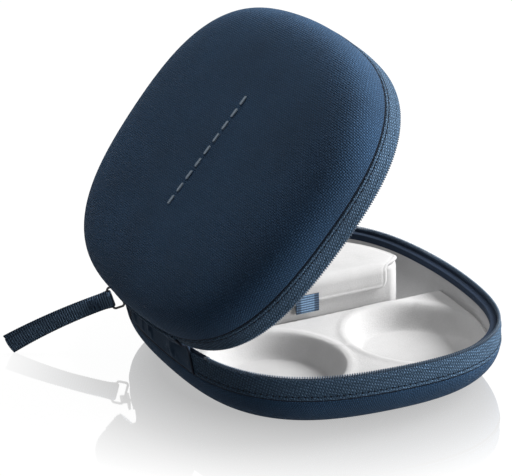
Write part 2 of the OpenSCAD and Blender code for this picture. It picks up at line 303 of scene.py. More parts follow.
# ---- node graphs for materials
class Graph:
    """Short calls for building one material's node tree."""

    def __init__(self, name):
        self.material = bpy.data.materials.new(name)
        self.material.use_nodes = True
        self.tree = self.material.node_tree
        self.shader = self.tree.nodes["Principled BSDF"]

    def node(self, kind, **settings):
        made = self.tree.nodes.new(kind)
        for key, value in settings.items():
            setattr(made, key, value)
        return made

    def put(self, value, socket):
        if isinstance(value, (int, float, tuple)):
            socket.default_value = value
        else:
            self.tree.links.new(value, socket)

    def math(self, operation, a, b=0.0, c=0.0):
        made = self.node("ShaderNodeMath", operation=operation)
        for value, socket in zip((a, b, c), made.inputs):
            self.put(value, socket)
        return made.outputs[0]

    def mix(self, share, a, b):
        made = self.node("ShaderNodeMix", data_type="RGBA")
        self.put(share, made.inputs["Factor"])
        for value, socket in ((a, made.inputs[6]), (b, made.inputs[7])):
            self.put(value if not isinstance(value, tuple) else (*value, 1.0), socket)
        return made.outputs[2]

    def filled(self, kind, **values):
        """A new node's first output, with its inputs set or joined by name."""
        made = self.node(kind)
        for key, value in values.items():
            self.put(value, made.inputs[key.replace("_", " ")])
        return made.outputs[0]

    def noise(self, scale, detail=2.0, roughness=0.5):
        return self.filled("ShaderNodeTexNoise", Scale=scale, Detail=detail, Roughness=roughness,
                           Vector=self.place())

    def place(self):
        """Object coordinates, metres: every piece's own space is the frame."""
        return self.node("ShaderNodeTexCoord").outputs["Object"]

    def weave_axes(self, turn=0.0):
        """The two weave coordinates, millimetres, turned by an angle."""
        uv = self.node("ShaderNodeUVMap", uv_map="weave").outputs["UV"]
        split = self.node("ShaderNodeSeparateXYZ")
        self.put(self.filled("ShaderNodeMapping", Rotation=(0, 0, turn), Vector=uv), split.inputs[0])
        return split.outputs[0], split.outputs[1]

    def ranged(self, value, low, high, out_low=0.0, out_high=1.0):
        return self.filled("ShaderNodeMapRange", From_Min=low, From_Max=high, To_Min=out_low, To_Max=out_high,
                           Value=value)

    def ridges(self, value, rate):
        """Round ridges between sharp furrows."""
        return self.math("ABSOLUTE", self.math("SINE", self.math("MULTIPLY", value, rate)))

    def bump(self, height, distance, strength=1.0, under=None):
        extra = {} if under is None else {"Normal": under}
        return self.filled("ShaderNodeBump", Distance=distance, Strength=strength, Height=height, **extra)

    def set(self, **values):
        for key, value in values.items():
            socket = self.shader.inputs[key.replace("_", " ")]
            self.put((*value, 1.0) if isinstance(value, tuple) and len(value) == 3 else value, socket)
        return self.material


def plain_weave(g, u, v, pitch):
    """Height of a plain weave's threads, and which of the two directions lies on top."""
    across = g.math("DIVIDE", u, pitch)
    along = g.math("DIVIDE", v, pitch)
    wave_u = g.ridges(across, HALF_TURN)
    wave_v = g.ridges(along, HALF_TURN)
    cell = g.math("ADD", g.math("FLOOR", across), g.math("FLOOR", along))
    top = g.math("FLOORED_MODULO", cell, 2.0)
    warp, weft = (g.math("MULTIPLY", g.math("POWER", a, 0.6), g.math("MULTIPLY_ADD", b, 0.6, 0.4))
                  for a, b in ((wave_u, wave_v), (wave_v, wave_u)))
    return g.math("MULTIPLY_ADD", g.math("SUBTRACT", weft, warp), top, warp), top


def woven(name, deep, light, pitch, relief, two_tone=0.0, turn=0.0, grain=0.25):
    """Woven fabric: threads in relief, painted shade between them, two tones of thread, uneven dye and a sheen.
    """
    g = Graph(name)
    u, v = g.weave_axes(turn)
    wander = g.ranged(g.noise(900.0, 1.0), 0.3, 0.7, -0.12 * pitch, 0.12 * pitch)
    height, top = plain_weave(g, g.math("ADD", u, wander), g.math("ADD", v, wander), pitch)
    # painted shade: the colour runs from deep in the gaps between threads to light on their tops
    body = g.mix(g.ranged(height, 0.15, 0.95), deep, light)
    fleck = g.ranged(g.noise(1500.0, 1.0), 0.35, 0.65)
    toned = g.math("MULTIPLY", g.math("MULTIPLY_ADD", fleck, 0.7, 0.3), g.math("MULTIPLY", top, two_tone))
    lit = g.mix(toned, body, tuple(min(1.0, 2.1 * c + 0.012) for c in light))
    cloudy = g.ranged(g.noise(22.0, 3.0), 0.35, 0.65, 1 - grain * 0.5, 1 + grain * 0.5)
    dyed = g.node("ShaderNodeVectorMath", operation="SCALE")
    g.put(lit, dyed.inputs[0])
    g.put(cloudy, dyed.inputs["Scale"])
    fuzz = g.bump(g.noise(2600.0, 2.0), 0.00012, 0.5)
    normal = g.bump(height, relief * MM, 1.0, fuzz)
    return g.set(Base_Color=dyed.outputs[0], Roughness=0.8, Normal=normal, Sheen_Weight=0.08,
                 Sheen_Roughness=0.45, Sheen_Tint=(0.4, 0.55, 0.75), Specular_IOR_Level=0.12)


def webbed(name, deep, light, pitch):
    """Webbing: cords across it, crossed by fine threads, with painted shade in the furrows, and darker along
    its edges.
    """
    g = Graph(name)
    u, v = g.weave_axes()
    yarn = g.ridges(v, HALF_TURN)
    height = g.math("MULTIPLY", g.ridges(u, HALF_TURN / pitch), g.math("MULTIPLY_ADD", yarn, 0.25, 0.75))
    darker_edges = g.ranged(g.math("ABSOLUTE", v), 3.9, 4.5, 1.0, 0.35)
    worn = g.ranged(g.noise(120.0, 3.0), 0.3, 0.7, 0.75, 1.0)
    # painted shade: the tone follows the cords' height, darkest in the furrows; it also darkens towards both
    # edges and varies at random
    tone = g.math("MULTIPLY", g.math("MULTIPLY", height, darker_edges), worn)
    normal = g.bump(height, 0.00035, 1.0)
    return g.set(Base_Color=g.mix(tone, deep, light), Roughness=0.8, Normal=normal, Sheen_Weight=0.08,
                 Specular_IOR_Level=0.12)


def fleece(name, shade, warm):
    """Soft brushed fabric: short fibres, faint patches of nap."""
    g = Graph(name)
    nap = g.ranged(g.noise(35.0, 4.0, 0.6), 0.3, 0.7)
    fibre = g.noise(1300.0, 3.0, 0.7)
    tint = g.mix(nap, shade, warm)
    speck = g.mix(g.ranged(fibre, 0.3, 0.7, 0.0, 0.25), tint, tuple(c * 0.82 for c in shade))
    normal = g.bump(fibre, 0.00025, 0.8, g.bump(nap, 0.0004, 0.4))
    return g.set(Base_Color=speck, Roughness=0.95, Normal=normal, Sheen_Weight=0.15, Sheen_Roughness=0.6,
                 Sheen_Tint=(1, 1, 1), Specular_IOR_Level=0.15)


def thread(name, colour, pitch=0.35):
    """Twisted sewing thread or covered cord."""
    g = Graph(name)
    u = g.weave_axes(0.7)[0]
    twist = g.math("SINE", g.math("MULTIPLY", u, FULL_TURN / pitch))
    normal = g.bump(twist, 0.00008, 0.8)
    tone = g.mix(g.ranged(g.noise(800.0), 0.3, 0.7), colour, tuple(c * 0.6 for c in colour))
    return g.set(Base_Color=tone, Roughness=0.6, Normal=normal, Specular_IOR_Level=0.1)


def lacquer(name, colour, roughness=0.32, metallic=0.0):
    """Lacquered or plated metal with fine scuffs."""
    g = Graph(name)
    scuff = g.noise(420.0, 4.0, 0.7)
    rough = g.ranged(scuff, 0.3, 0.75, roughness * 0.8, roughness * 1.5)
    worn = tuple(min(1.0, c * 2 + 0.01) for c in colour)
    tone = g.mix(g.ranged(scuff, 0.55, 0.8, 0.0, 0.35), colour, worn)
    return g.set(Base_Color=tone, Roughness=rough, Metallic=metallic, Normal=g.bump(scuff, 0.00003, 0.5))


def moulded(name, colour, roughness=0.45):
    """Nylon or foam with a fine skin."""
    g = Graph(name)
    skin = g.noise(1800.0, 2.0)
    tone = g.mix(g.ranged(skin, 0.3, 0.7), colour, tuple(c * 1.35 for c in colour))
    return g.set(Base_Color=tone, Roughness=roughness, Normal=g.bump(skin, 0.00005, 0.6))


shell_fabric = woven("shell_fabric", (0.007, 0.021, 0.045), (0.024, 0.062, 0.125), 1.15, 0.45, two_tone=0.35)
gusset_fabric = woven("gusset_fabric", (0.005, 0.012, 0.024), (0.049, 0.090, 0.145), 1.15, 0.6, two_tone=0.9,
                      turn=0.5, grain=0.3)
hinge_fabric = woven("hinge_fabric", (0.007, 0.017, 0.034), (0.019, 0.042, 0.078), 0.42, 0.06)
tape_fabric = woven("tape_fabric", (0.008, 0.013, 0.026), (0.020, 0.034, 0.062), 0.5, 0.10)
strap_fabric = webbed("strap_fabric", (0.007, 0.014, 0.030), (0.225, 0.360, 0.540), 1.4)
lining_fleece = fleece("lining_fleece", (0.43, 0.43, 0.435), (0.51, 0.51, 0.515))
tray_fleece = fleece("tray_fleece", (0.43, 0.427, 0.427), (0.50, 0.497, 0.497))
piping_thread = thread("piping_thread", (0.006, 0.010, 0.020))
stitch_thread = thread("stitch_thread", (0.030, 0.062, 0.115))
hole_shade = thread("hole_shade", (0.003, 0.004, 0.008))
tack_thread = thread("tack_thread", (0.150, 0.240, 0.380))
coil_nylon = moulded("coil_nylon", (0.034, 0.062, 0.100))
stop_plastic = moulded("stop_plastic", (0.010, 0.018, 0.032), 0.6)
foam = moulded("foam", (0.012, 0.016, 0.024), 0.8)
black_lacquer = lacquer("black_lacquer", (0.006, 0.006, 0.008))
nickel = lacquer("nickel", (0.62, 0.63, 0.65), 0.25, 1.0)
mark_rubber = moulded("mark_rubber", (0.20, 0.26, 0.33), 0.55)


def finish_piece(piece, material, body, slot, *nodes):
    """Material, body and the CAD nodes that a piece stands for; slot is not used."""
    piece.data.materials.append(material)
    fix_normals(piece)
    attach(piece, body)
    if nodes:
        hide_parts(*nodes)


# ---- shells and linings
AROUND = 240


def crown_profile(inset, start, half):
    """Share of the outline and height along a meridian, from the seam to near the middle."""
    info = HALVES[half]
    fullness, softness = info["shape"]
    rise = info["height"] - inset - info["seam"]
    lifts = np.linspace(0.04, 0.93, 26)
    shares = (1 - lifts ** softness) ** (1 / fullness)
    flat = np.linspace(shares[-1], 0.03, 22)[1:]
    shares = np.concatenate([shares, flat])
    heights = info["seam"] + rise * (1 - shares ** fullness) ** (1 / softness)
    low = np.arange(start, info["seam"], 2.0)
    return np.concatenate([np.ones(len(low)), shares]), np.concatenate([low, heights])


def meridian_grid(angles, insets, shares, depths, unevenness):
    """Points on a bowl: one row for each angle, one column for each level."""
    points = np.zeros((len(angles), len(shares), 3))
    for j, (inset, share, depth) in enumerate(zip(insets, shares, depths)):
        points[:, j, :2] = on_outline(angles, inset, share)
        bumps = ripple(points[:, j, 0], points[:, j, 1], 23.0)
        points[:, j, 2] = depth - unevenness * (1 + bumps) * (1 - share ** 6)
    return points


def draped_uv(points):
    """Weave coordinates of a moulded sheet: the plan direction, and the length from its middle."""
    steps = np.linalg.norm(np.diff(points, axis=1), axis=2)
    spans = np.concatenate([np.zeros((len(points), 1)), np.cumsum(steps[:, ::-1], axis=1)], 1)[:, ::-1]
    spans = spans + np.linalg.norm(points[:, -1:, :2], axis=2)
    uv = unit(points[..., :2]) * spans[..., None]
    return np.concatenate([uv, uv[:1]], 0)


def bowl(name, half, outer, inner):
    """Two skins joined along their open edges into one closed skin, in the half's place."""
    points = np.concatenate([outer[:, ::-1], inner], 1)
    uv = np.concatenate([draped_uv(outer)[:, ::-1], draped_uv(inner)], 1)
    return surface(name, PLACE[half](points), uv, wrap_path=True, poles=True)


def shell(half):
    info = HALVES[half]
    seam = info["seam"]
    angles = whole_turn(AROUND)
    shares, depths = crown_profile(0.0, seam, half)
    roll_in = [0.95, 0.5, 0.15, 0.0]
    roll_z = [seam + 0.5, seam + 0.42, seam + 0.6, seam + 1.1]
    keep = depths > seam + 1.5
    insets = np.concatenate([roll_in, np.zeros(keep.sum())])
    outer = meridian_grid(angles, insets, np.concatenate([np.ones(4) * 0.9995, shares[keep]]),
                          np.concatenate([roll_z, depths[keep]]), 0.10)
    shares, depths = crown_profile(COVER_T - 0.1, seam, half)
    keep = depths > seam + 0.9
    inner = meridian_grid(angles, np.full(keep.sum(), COVER_T - 0.1), shares[keep], depths[keep], 0.10)
    piece = bowl(f"{half}_shell_fabric", half, outer, inner)
    finish_piece(piece, shell_fabric, info["body"], "shell_fabric", f"{half}_cover")


def lining(half):
    info = HALVES[half]
    skins = []
    for inset, unevenness in ((LINING_IN, 0.10), (CAVITY_IN, 0.15)):
        shares, depths = crown_profile(inset, 5.0, half)
        skins.append(meridian_grid(whole_turn(AROUND), np.full(len(shares), inset), shares, depths, unevenness))
    piece = bowl(f"{half}_lining_fleece", half, *skins)
    finish_piece(piece, lining_fleece, info["body"], "lining_fabric", f"{half}_lining")


# ---- gusset, zip, binding
RIM_EDGE = 1.9
RIDGE_AT = 4.5


def gusset(half):
    info = HALVES[half]
    seam = info["seam"]
    mid = (RIDGE_AT + seam) / 2
    outside = [(0.75, RIM_EDGE), (0.2, RIM_EDGE), (0.0, RIM_EDGE + 0.5), (-0.05, RIDGE_AT - 0.7),
               (-0.28, RIDGE_AT - 0.15), (-0.28, RIDGE_AT + 0.2), (0.02, RIDGE_AT + 0.7), (-0.2, mid),
               (-0.1, seam - 2.7), (0.12, seam - 2.25), (-0.05, seam - 1.8), (-0.45, seam - 1.1),
               (-0.42, seam - 0.5), (0.0, seam - 0.25), (0.7, seam - 0.3)]
    inside = [(1.15, seam - 0.6), (1.15, mid), (1.15, RIM_EDGE + 0.4)]
    piece = strip_round(f"{half}_gusset", half, outside + inside, *front_run(info["panel"] - PANEL_LAP))
    finish_piece(piece, gusset_fabric, info["body"], "gusset_fabric", f"{half}_band")


def circle_profile(inset, depth, radius, count=6):
    turn = whole_turn(count)
    return np.stack([inset + radius * np.cos(turn), depth + radius * np.sin(turn)], -1)


def seam_piping(half):
    info = HALVES[half]
    profile = circle_profile(0.5, info["seam"] + 0.1, 0.42)
    piece = strip_round(f"{half}_seam_piping", half, profile, 0, PERIMETER, closed=True)
    finish_piece(piece, piping_thread, info["body"], "welt_cord", f"{half}_seam_welt")


def tape_strip(name, half, depths, span, *nodes):
    """Zip tape inside the cover, over a span of the outline; depths are its near edge, middle and far edge."""
    low, mid, high = depths
    inner = COVER_T + 0.1
    profile = [(inner, low), (inner, mid), (inner, high), (inner + 0.7, high), (inner + 0.75, mid),
               (inner + 0.7, low)]
    piece = strip_round(name, half, profile, *span)
    finish_piece(piece, tape_fabric, HALVES[half]["body"], "zip_tape", *nodes)


def zip_tape(half):
    tape_strip(f"{half}_zip_tape_cloth", half, (1.8, 3.2, 4.6), front_run(ZIP_HALF), f"{half}_zip_tape")


def tape_ends(half):
    """Past the zip's stops the tapes run on bare, under the hinge panel, and meet when the case is shut."""
    near_stop, far_stop = front_run(ZIP_HALF + 1)
    near_end, far_end = front_run(FOLD_HALF - 2)
    for end, span in (("near", (near_end, near_stop)), ("far", (far_stop, far_end))):
        tape_strip(f"{half}_tape_end_{end}", half, (0.15, 1.6, 3.0), span)


def rim_binding(half):
    edge = CAVITY_IN + 0.95
    profile = [(2.15, 3.5), (3.2, 3.3), (4.8, 3.3), (edge - 0.3, 3.4), (edge, 4.0), (edge, 5.4),
               (edge - 0.1, 7.0), (edge - 0.5, 7.2), (CAVITY_IN + 0.1, 6.0), (CAVITY_IN + 0.1, 4.6),
               (4.6, 4.2), (2.15, 4.2)]
    piece = strip_round(f"{half}_rim_tape", half, profile, 0, PERIMETER, closed=True)
    finish_piece(piece, tape_fabric, HALVES[half]["body"], "rim_binding", f"{half}_rim_binding")


def tube_points(path, side, radius, count=6):
    """Rings round a path of points; side is a direction that is never along the path."""
    path = np.asarray(path, float)
    along = unit(np.gradient(path, axis=0))
    first = unit(np.cross(along, side))
    second = np.cross(along, first)
    turn = whole_turn(count)
    radius = np.broadcast_to(radius, len(path))[:, None, None]
    ring = first[:, None] * np.cos(turn)[None, :, None] + second[:, None] * np.sin(turn)[None, :, None]
    return path[:, None] + ring * radius


def many_tubes(name, tubes, place):
    """One mesh of many closed tubes, each an array of rings, put in their place."""
    verts = []
    faces = []
    corners = []
    for tube in tubes:
        start = len(verts)
        rows, cols = tube.shape[:2]
        verts += [tuple(p) for p in place(tube).reshape(-1, 3)]
        for i in range(rows - 1):
            near = start + i * cols
            far = near + cols
            for j in range(cols):
                j2 = (j + 1) % cols
                faces.append((near + j, near + j2, far + j2, far + j))
                corners += [(i, j), (i, j + 1), (i + 1, j + 1), (i + 1, j)]
        faces.append(tuple(start + j for j in range(cols))[::-1])
        faces.append(tuple(start + (rows - 1) * cols + j for j in range(cols)))
        corners += [(0, 0)] * (2 * cols)
    return make_object(name, verts, faces, corners, smooth_below=80)


def spot(half, length, inset, depth):
    """A point at a length along the outline, in the half's own space."""
    return np.array([*on_outline(angle_at(length), inset - flare_at(half, depth)), depth])


def zip_coil(half):
    """Each tooth is a hoop of the nylon coil, standing over the tape's edge."""
    hoop = rounded_open([(0.45, 2.6), (0.45, 1.2), (0.6, 0.62), (1.05, 0.55), (1.5, 0.62), (1.65, 1.2),
                         (1.65, 2.4)], 1)
    shift = 0.0
    if half == "upper":  # smaller hoops, set back and in the gaps of the lower ones
        hoop = hoop * (0.8, 0.85) + (0.65, 0.35)
        shift = 0.5 * TOOTH_PITCH
    tubes = []
    margin = 3.0
    start, end = front_run(ZIP_HALF)
    for length in np.arange(start + margin + shift, end - margin, TOOTH_PITCH):
        path = [spot(half, length, inset, depth) for inset, depth in hoop]
        side = spot(half, length + 0.5, 0, 0) - spot(half, length - 0.5, 0, 0)
        tubes.append(tube_points(path, side, 0.36, 5))
    piece = many_tubes(f"{half}_zip_coil", tubes, PLACE[half])
    finish_piece(piece, coil_nylon, HALVES[half]["body"], "zip_teeth", f"{half}_zip_teeth")


def gusset_stitches(half):
    """A row of lock stitches along the gusset; each sinks at its ends into a small hole, drawn as a near-black
    tube of painted shade.
    """
    depth = HALVES[half]["seam"] - 2.25
    lift = 0.12
    start, end = front_run(HALVES[half]["panel"])
    stitch_l = 0.68 * STITCH_PITCH
    threads = []
    holes = []
    for length in np.arange(start + 2, end - 2, STITCH_PITCH):
        spans = np.linspace(-0.5, 0.5, 7)
        sink = 0.45 * (2 * abs(spans)) ** 3
        path = [spot(half, length + s * stitch_l, dip - lift, depth + 0.12 * s) for s, dip in zip(spans, sink)]
        threads.append(tube_points(path, (0, 0, 1), 0.27 * np.sqrt(1.05 - (1.9 * spans) ** 2), 6))
        gap = length + 0.5 * STITCH_PITCH
        # painted shade: a near-black tube stands for the shade inside each needle hole
        deep = [spot(half, gap, inset, depth) for inset in (0.35, -0.1, -0.2)]
        holes.append(tube_points(deep, (0, 0, 1), np.array([0.5, 0.5, 0.15]), 8))
    body = HALVES[half]["body"]
    rows = many_tubes(f"{half}_gusset_stitches", threads, PLACE[half])
    finish_piece(rows, stitch_thread, body, "gusset_fabric")
    punched = many_tubes(f"{half}_gusset_stitch_hole_shade", holes, PLACE[half])
    finish_piece(punched, hole_shade, body, "gusset_fabric")


# ---- hinge panel
CLOTH_SCALE = 20  # the solver works on a sheet this many times life size
SETTLE_FRAMES = 24
PANEL_LEVELS = 12  # levels of the hinge panel's grid on each half
PANEL_T = 0.9


def slackened(grid, spare):
    """Lets a sheet buckle the way spare cloth does: it is held along its border, grown, and settles."""
    rows, cols = grid.shape[:2]
    sheet = surface("slack_sheet", grid * MM * CLOTH_SCALE, np.zeros((rows + 1, cols + 1, 2)))
    held = sheet.vertex_groups.new(name="held")
    border = [i * cols + j for i in range(rows) for j in range(cols)
              if i in (0, rows - 1) or j in (0, 1, cols - 2, cols - 1)]
    held.add(border, 1.0, "REPLACE")
    cloth = sheet.modifiers.new("cloth", "CLOTH")
    settings = {"quality": 8, "mass": 0.4, "tension_stiffness": 40, "compression_stiffness": 40,
                "bending_stiffness": 3, "shrink_min": -spare, "shrink_max": -spare, "vertex_group_mass": "held"}
    for key, value in settings.items():
        setattr(cloth.settings, key, value)
    cloth.settings.effector_weights.gravity = 0.0
    cloth.point_cache.frame_start = 1
    cloth.point_cache.frame_end = SETTLE_FRAMES
    for frame_number in range(1, SETTLE_FRAMES + 1):
        bpy.context.scene.frame_set(frame_number)
    make_active(sheet)
    bpy.ops.object.modifier_apply(modifier="cloth")
    settled = np.zeros(rows * cols * 3, np.float32)
    sheet.data.vertices.foreach_get("co", settled)
    bpy.context.scene.frame_set(1)
    bpy.data.objects.remove(sheet)
    return settled.reshape(rows, cols, 3) / (MM * CLOTH_SCALE)


def hinge_panel():
    """One cloth from the base's seam to the lid's, folded between them and shortest at the fold."""
    lower, upper = HALVES.values()
    levels = [("lower", depth) for depth in np.linspace(lower["seam"] - 0.4, 2.0, PANEL_LEVELS)]
    levels += [("upper", depth) for depth in np.linspace(2.0, upper["seam"] - 0.4, PANEL_LEVELS)]
    last = PANEL_LEVELS - 1
    rows = 101
    grid = []
    for i, (half, depth) in enumerate(levels):
        reach = np.interp(i, [0, last, len(levels) - 1], [lower["panel"], FOLD_HALF, upper["panel"]])
        angles = np.linspace(hinge_edge(reach), hinge_edge(-reach), rows)
        plan = on_outline(angles, 0.05 - flare_at(half, depth))
        grid.append(PLACE[half](np.column_stack([plan, np.full(rows, depth)])) / MM)
    grid = np.array(grid).transpose(1, 0, 2)
    below = grid[:, last]
    above = grid[:, last + 1]
    pull = np.linalg.norm(above - below, axis=1, keepdims=True) * 0.55
    a = below + unit(below - grid[:, last - 1]) * pull
    b = above - unit(grid[:, last + 2] - above) * pull
    fold = []
    for t in np.linspace(0, 1, 12)[1:-1]:
        s = 1 - t
        fold.append(s ** 3 * below + 3 * s ** 2 * t * a + 3 * s * t * t * b + t ** 3 * above)
    fold = np.array(fold).transpose(1, 0, 2)
    grid = np.concatenate([grid[:, :PANEL_LEVELS], fold, grid[:, PANEL_LEVELS:]], 1)
    outward = unit(np.cross(np.gradient(grid, axis=1), np.gradient(grid, axis=0)))
    if outward[rows // 2, 2, 0] > 0:
        outward = -outward
    share = np.linspace(-1, 1, grid.shape[1])[None, :]
    y = grid[..., 1]
    edge = np.clip((abs(y[:1]) - abs(y)) / 12, 0, 1)
    waves = 0.45 * np.sin(y / 5.2 + 3 * share) + 0.4 * np.sin(y / 9.1 - 5 * share + 1)
    creases = waves * (1 - share ** 2) ** 2
    tuck = 0.5 * np.exp(-((share - 0.02) / 0.1) ** 2)
    ends = -0.85 * (1 - edge) ** 1.2
    swell = 0.35 * np.cos(share * HALF_TURN / 2) ** 0.5 * edge
    rolled = 0.3 * (abs(share) > 0.985)
    grid = grid + outward * (creases * edge + swell - tuck - ends - rolled)[..., None]
    moved = ((slackened(grid, 0.05) - grid) * outward).sum(2)
    grid = grid + outward * np.clip(moved, -0.2 - 0.5 * np.exp(-(share / 0.2) ** 2), 1.3)[..., None]
    middle = grid[rows // 2]
    piece = cloth_strip("hinge_panel_cloth", grid, grid - outward * PANEL_T, y[:, 5], lengths_along(middle))
    piece.data.materials.append(hinge_fabric)
    fix_normals(piece)
    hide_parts("lower_hinge_panel", "upper_hinge_panel")
    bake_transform(piece)
    return grid


def hinge_welt():
    """A covered cord in the lid's seam, along the hinge panel."""
    info = HALVES["upper"]
    end, start = front_run(info["panel"] + 1)
    profile = circle_profile(-0.6, info["seam"] - 1.5, 1.0, 8)
    piece = strip_round("hinge_panel_welt", "upper", profile, start - PERIMETER, end)
    finish_piece(piece, gusset_fabric, "lid", "welt_cord")


def panel_end_seams(grid):
    """A cord along each end of the hinge panel."""
    for name, row in (("far", 0), ("near", -1)):
        path = grid[row]
        rings = tube_points(path, (0.0, 1.0, 0.0), 0.6, 8)
        uv = np.zeros((len(path), 9, 2))
        uv[..., 0] = lengths_along(path)[:, None]
        piece = surface(f"hinge_end_seam_{name}", rings * MM, uv, wrap_profile=True, cap_ends=True)
        piece.data.materials.append(piping_thread)
        fix_normals(piece)
        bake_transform(piece)


# ---- tray for the ear cups
RECESS = {"x": 42.0, "y": -44.0, "a": 37.0, "b": 42.0}
WELL_DEPTH = 12.5
WELL_SLOPE = 9.0
TRAY_MIDDLE = np.array([0.0, -42.0])
TRAY_BACK = 2.2


def bowl_floor(x, y):
    """Height of the base's lining at a plan point."""
    angle = np.arctan2(x, -y)
    info = HALVES["lower"]
    share = np.clip(np.hypot(x, y) / (outline_r(angle) - CAVITY_IN), 0, 0.99999)
    fullness, softness = info["shape"]
    rise = (1 - share ** fullness) ** (1 / softness)
    return BASE_H - info["seam"] - (info["height"] - CAVITY_IN - info["seam"]) * rise


def tray_height(x, y):
    """Top of the tray: a flat deck with two oval wells and rolled lips."""
    side = abs(x)
    inside = 1 - np.hypot((side - RECESS["x"]) / RECESS["a"], (y - RECESS["y"]) / RECESS["b"])
    well = smoothstep(np.clip(inside * RECESS["a"] / WELL_SLOPE, 0, 1))
    lip = 0.5 * np.exp(-((inside * RECESS["a"] + 2.0) / 2.2) ** 2)
    top = DECK_Z + lip - WELL_DEPTH * well + 0.12 * ripple(x, y, 11.0)
    return np.maximum(top, bowl_floor(x, y) + 0.9)


def tray():
    """One skin: the top out to its edge, a skirt down, and the underside back to the middle."""
    turns = whole_turn(AROUND)
    reach = []
    for turn in turns:
        direction = np.array([math.sin(turn), -math.cos(turn)])
        far = 150.0
        for trial in np.linspace(30, 150, 481):
            x, y = TRAY_MIDDLE + direction * trial
            if math.hypot(x, y) > outline_r(math.atan2(x, -y)) - CAVITY_IN - 0.6 or y > TRAY_BACK:
                far = trial
                break
        reach.append(far)
    reach = np.array(reach)
    shares = np.sin(np.linspace(0.02, 1, 64) * HALF_TURN / 2)
    directions = np.stack([np.sin(turns), -np.cos(turns)], -1)
    plan = TRAY_MIDDLE + shares[None, :, None] * reach[:, None, None] * directions[:, None]
    x = plan[..., 0]
    y = plan[..., 1]
    height = tray_height(x, y)
    from_edge = (1 - shares[None, :]) * reach[:, None]
    height = height - 1.6 * (1 - np.clip(from_edge / 2.4, 0, 1)) ** 2
    top = np.stack([x, y, height], -1)
    back = y[:, -1] > TRAY_BACK - 1.2
    skirt_z = np.where(back, np.maximum(bowl_floor(x[:, -1], y[:, -1]) + 1.0, 8.0), DECK_Z - 4)
    skirt = np.stack([x[:, -1], y[:, -1], skirt_z], -1)[:, None]
    bottom = top.copy()
    bottom[..., 2] -= 1.3
    bottom[:, -4:, :2] = TRAY_MIDDLE + (bottom[:, -4:, :2] - TRAY_MIDDLE) * 0.985
    low_edge = bottom[:, -1:].copy()
    low_edge[..., 2] = skirt_z[:, None]
    points = np.concatenate([top, skirt, low_edge, bottom[:, ::-1]], 1)
    uv = np.concatenate([points[..., :2], points[:1, :, :2]], 0)
    piece = surface("ear_cup_tray_insert", as_is(points), uv, wrap_path=True, poles=True)
    finish_piece(piece, tray_fleece, "base", "tray_fabric", "ear_cup_tray")


# ---- accessory box and flap
BOX_FRONT = 5.0
BOX_BACK = 58.0
BOX_R = 62.0  # of the round sides, about a point on the centre line at BOX_MIDDLE
BOX_MIDDLE = BOX_FRONT - 2
BOX_TOP = 40.0
BOX_FOOT = 6.5
CORNER_CUT = 7.0
FLAP_SKIRT_HALF = 50.3
FLAP_LOW_Z = 28.6
FLAP_CORNER_R = 5.0


def box_plan(inset):
    """Plan outline of the accessory box, as points round it."""
    half = BOX_R - inset
    front = BOX_FRONT + inset
    back = BOX_BACK - inset
    turn_front = math.asin((front + CORNER_CUT - BOX_MIDDLE) / half)
    turn_back = math.asin((back - BOX_MIDDLE) / half)
    arc = np.linspace(turn_front, turn_back, 30)
    right = [(half * math.cos(t), BOX_MIDDLE + half * math.sin(t)) for t in arc]
    front_x = half - CORNER_CUT
    front_line = [(x, front) for x in np.linspace(-front_x, front_x, 25)]
    back_line = [(x, back) for x in np.linspace(right[-1][0], -right[-1][0], 25)][1:-1]
    left = [(-x, y) for x, y in right[::-1]]
    return rounded(front_line + right + back_line + left, 2)


def accessory_box():
    """One skin from the middle of its floor, up inside, over the rim, down outside and under."""
    wall = 3.0
    top = BOX_TOP
    foot = BOX_FOOT
    levels = rounded_open([
        (wall + 9, foot + 2.2), (wall + 3, foot + 2.4), (wall + 0.6, foot + 3.6), (wall, foot + 6),
        (wall, top - 2), (wall - 0.5, top - 0.7), (wall / 2, top), (0.5, top - 0.6), (0.0, top - 1.8),
        (-0.1, (top + foot) / 2), (0.0, foot + 4), (0.6, foot + 1.6), (3, foot + 0.4), (wall + 9, foot)])
    rings = []
    for inset, z in levels:
        plan = box_plan(inset)
        rings.append(np.column_stack([plan, np.full(len(plan), z)]))
    points = np.array(rings).transpose(1, 0, 2)
    around = lengths_along(np.concatenate([points[:, 0, :2], points[:1, 0, :2]]))
    uv = weave_grid(around, lengths_along(levels))
    piece = surface("accessory_box_walls", as_is(points), uv, wrap_path=True, poles=True)
    finish_piece(piece, tray_fleece, "base", "tray_fabric", "accessory_box")


def flap_half_width(run, top_run):
    """Half width of the flap at a length along it, from its back edge over the front bend and down."""
    y = BOX_BACK - run
    round_side = np.sqrt(np.maximum(BOX_R ** 2 - (y - BOX_MIDDLE) ** 2, 1))
    half = np.minimum(round_side, BOX_R - CORNER_CUT + np.maximum(y - BOX_FRONT, 0))
    eased = smoothstep(np.clip((run - top_run) / 5.0, 0, 1))
    return half * (1 - eased) + FLAP_SKIRT_HALF * eased


